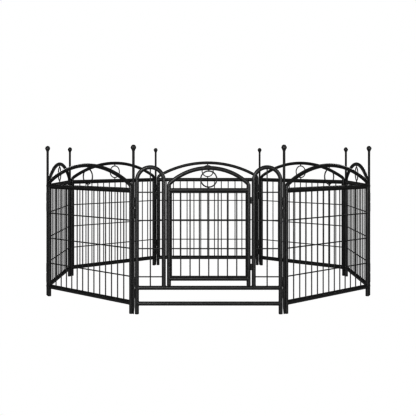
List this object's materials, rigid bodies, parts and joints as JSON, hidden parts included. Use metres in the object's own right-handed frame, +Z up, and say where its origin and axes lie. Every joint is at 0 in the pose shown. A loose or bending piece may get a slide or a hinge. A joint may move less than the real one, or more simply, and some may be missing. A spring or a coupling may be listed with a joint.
{
  "type": "pet playpen",
  "caption": "Octagonal pet playpen of arched steel tube and wire panels joined by lift-out corner rods with ball tops, one panel with a hinged door.",
  "frame": {"origin": "centre of the pen on the floor, where the feet stand", "axes": "+Z up, the door panel faces -Y, +X to the right of someone who faces the door from outside"},
  "size_m": [1.5188, 1.5193, 0.697],
  "materials": {
    "tube_powder_coat": "satin black powder coat on steel tube",
    "wire_powder_coat": "satin black powder coat on welded wire",
    "hinge_powder_coat": "satin black powder coat",
    "end_cap_plastic": "moulded black plastic, matt",
    "pin_steel": "black oxide",
    "bolt_steel": "bright zinc plated",
    "rod_powder_coat": "satin black powder coat on solid rod"
  },
  "bodies": {
    "door_panel": {"door_panel_left_hoop": "tube_powder_coat", "door_panel_right_hoop": "tube_powder_coat", "door_panel_sill_bars": "tube_powder_coat", "door_panel_mesh": "wire_powder_coat", "door_panel_hinge_barrels": "hinge_powder_coat", "door_panel_foot_caps": "end_cap_plastic", "door_stop": "tube_powder_coat", "door_hinge_leg_knuckles": "hinge_powder_coat"},
    "front_right": {"front_right_frame": "tube_powder_coat", "front_right_rails_and_ring": "tube_powder_coat", "front_right_mesh": "wire_powder_coat", "front_right_hinge_barrels": "hinge_powder_coat", "front_right_foot_caps": "end_cap_plastic"},
    "right": {"right_frame": "tube_powder_coat", "right_rails_and_ring": "tube_powder_coat", "right_mesh": "wire_powder_coat", "right_hinge_barrels": "hinge_powder_coat", "right_foot_caps": "end_cap_plastic"},
    "back_right": {"back_right_frame": "tube_powder_coat", "back_right_rails_and_ring": "tube_powder_coat", "back_right_mesh": "wire_powder_coat", "back_right_hinge_barrels": "hinge_powder_coat", "back_right_foot_caps": "end_cap_plastic"},
    "back": {"back_frame": "tube_powder_coat", "back_rails_and_ring": "tube_powder_coat", "back_mesh": "wire_powder_coat", "back_hinge_barrels": "hinge_powder_coat", "back_foot_caps": "end_cap_plastic"},
    "back_left": {"back_left_frame": "tube_powder_coat", "back_left_rails_and_ring": "tube_powder_coat", "back_left_mesh": "wire_powder_coat", "back_left_hinge_barrels": "hinge_powder_coat", "back_left_foot_caps": "end_cap_plastic"},
    "left": {"left_frame": "tube_powder_coat", "left_rails_and_ring": "tube_powder_coat", "left_mesh": "wire_powder_coat", "left_hinge_barrels": "hinge_powder_coat", "left_foot_caps": "end_cap_plastic"},
    "front_left": {"front_left_frame": "tube_powder_coat", "front_left_rails_and_ring": "tube_powder_coat", "front_left_mesh": "wire_powder_coat", "front_left_hinge_barrels": "hinge_powder_coat", "front_left_foot_caps": "end_cap_plastic"},
    "door": {"door_frame": "tube_powder_coat", "door_rails_and_ring": "tube_powder_coat", "door_mesh": "wire_powder_coat", "door_hinge_stile_knuckles": "hinge_powder_coat", "door_hinge_pins": "pin_steel", "door_stile_plug": "end_cap_plastic", "door_bolt_guide": "end_cap_plastic"},
    "drop_bolt": {"drop_bolt": "bolt_steel", "drop_bolt_button": "end_cap_plastic"},
    "corner_rod_1": {"corner_rod_1": "rod_powder_coat"},
    "corner_rod_2": {"corner_rod_2": "rod_powder_coat"},
    "corner_rod_3": {"corner_rod_3": "rod_powder_coat"},
    "corner_rod_4": {"corner_rod_4": "rod_powder_coat"},
    "corner_rod_5": {"corner_rod_5": "rod_powder_coat"},
    "corner_rod_6": {"corner_rod_6": "rod_powder_coat"},
    "corner_rod_7": {"corner_rod_7": "rod_powder_coat"},
    "corner_rod_8": {"corner_rod_8": "rod_powder_coat"}
  },
  "joints": [
    {"name": "pen_fold", "type": "hinge", "parent": "door_panel", "child": "front_right", "pos_m": [0.31, -0.74841, 0], "axis": [0, 0, 1], "range_deg": [-45, 45]},
    {"name": "fold_right", "type": "hinge", "parent": "front_right", "child": "right", "pos_m": [0.74841, -0.31, 0], "axis": [0, 0, 1], "range_deg": [-45, 45]},
    {"name": "fold_back_right", "type": "hinge", "parent": "right", "child": "back_right", "pos_m": [0.74841, 0.31, 0], "axis": [0, 0, 1], "range_deg": [-45, 45]},
    {"name": "fold_back", "type": "hinge", "parent": "back_right", "child": "back", "pos_m": [0.31, 0.74841, 0], "axis": [0, 0, 1], "range_deg": [-45, 45]},
    {"name": "fold_front_left", "type": "hinge", "parent": "door_panel", "child": "front_left", "pos_m": [-0.31, -0.74841, 0], "axis": [0, 0, 1], "range_deg": [-45, 45]},
    {"name": "fold_left", "type": "hinge", "parent": "front_left", "child": "left", "pos_m": [-0.74841, -0.31, 0], "axis": [0, 0, 1], "range_deg": [-45, 45]},
    {"name": "fold_back_left", "type": "hinge", "parent": "left", "child": "back_left", "pos_m": [-0.74841, 0.31, 0], "axis": [0, 0, 1], "range_deg": [-45, 45]},
    {"name": "rod_1_lift", "type": "slide", "parent": "door_panel", "child": "corner_rod_1", "axis": [0, 0, 1], "range_m": [0, 0.49]},
    {"name": "rod_2_lift", "type": "slide", "parent": "front_right", "child": "corner_rod_2", "axis": [0, 0, 1], "range_m": [0, 0.49]},
    {"name": "rod_3_lift", "type": "slide", "parent": "right", "child": "corner_rod_3", "axis": [0, 0, 1], "range_m": [0, 0.49]},
    {"name": "rod_4_lift", "type": "slide", "parent": "back_right", "child": "corner_rod_4", "axis": [0, 0, 1], "range_m": [0, 0.49]},
    {"name": "rod_5_lift", "type": "slide", "parent": "back", "child": "corner_rod_5", "axis": [0, 0, 1], "range_m": [0, 0.49]},
    {"name": "rod_6_lift", "type": "slide", "parent": "left", "child": "corner_rod_6", "axis": [0, 0, 1], "range_m": [0, 0.49]},
    {"name": "rod_7_lift", "type": "slide", "parent": "front_left", "child": "corner_rod_7", "axis": [0, 0, 1], "range_m": [0, 0.49]},
    {"name": "rod_8_lift", "type": "slide", "parent": "door_panel", "child": "corner_rod_8", "axis": [0, 0, 1], "range_m": [0, 0.49]},
    {"name": "door_swing", "type": "hinge", "parent": "door_panel", "child": "door", "pos_m": [0.1744, -0.75467, 0], "axis": [0, 0, 1], "range_deg": [0, 145]},
    {"name": "bolt_drop", "type": "slide", "parent": "door", "child": "drop_bolt", "axis": [0, 0, 1], "range_m": [-0.015, 0]}
  ],
  "couplings": [
    {"joint": "fold_right", "follows": "pen_fold", "ratio": -1},
    {"joint": "fold_back_right", "follows": "pen_fold", "ratio": 1},
    {"joint": "fold_back", "follows": "pen_fold", "ratio": -1},
    {"joint": "fold_front_left", "follows": "pen_fold", "ratio": 1},
    {"joint": "fold_left", "follows": "pen_fold", "ratio": -1},
    {"joint": "fold_back_left", "follows": "pen_fold", "ratio": 1}
  ]
}
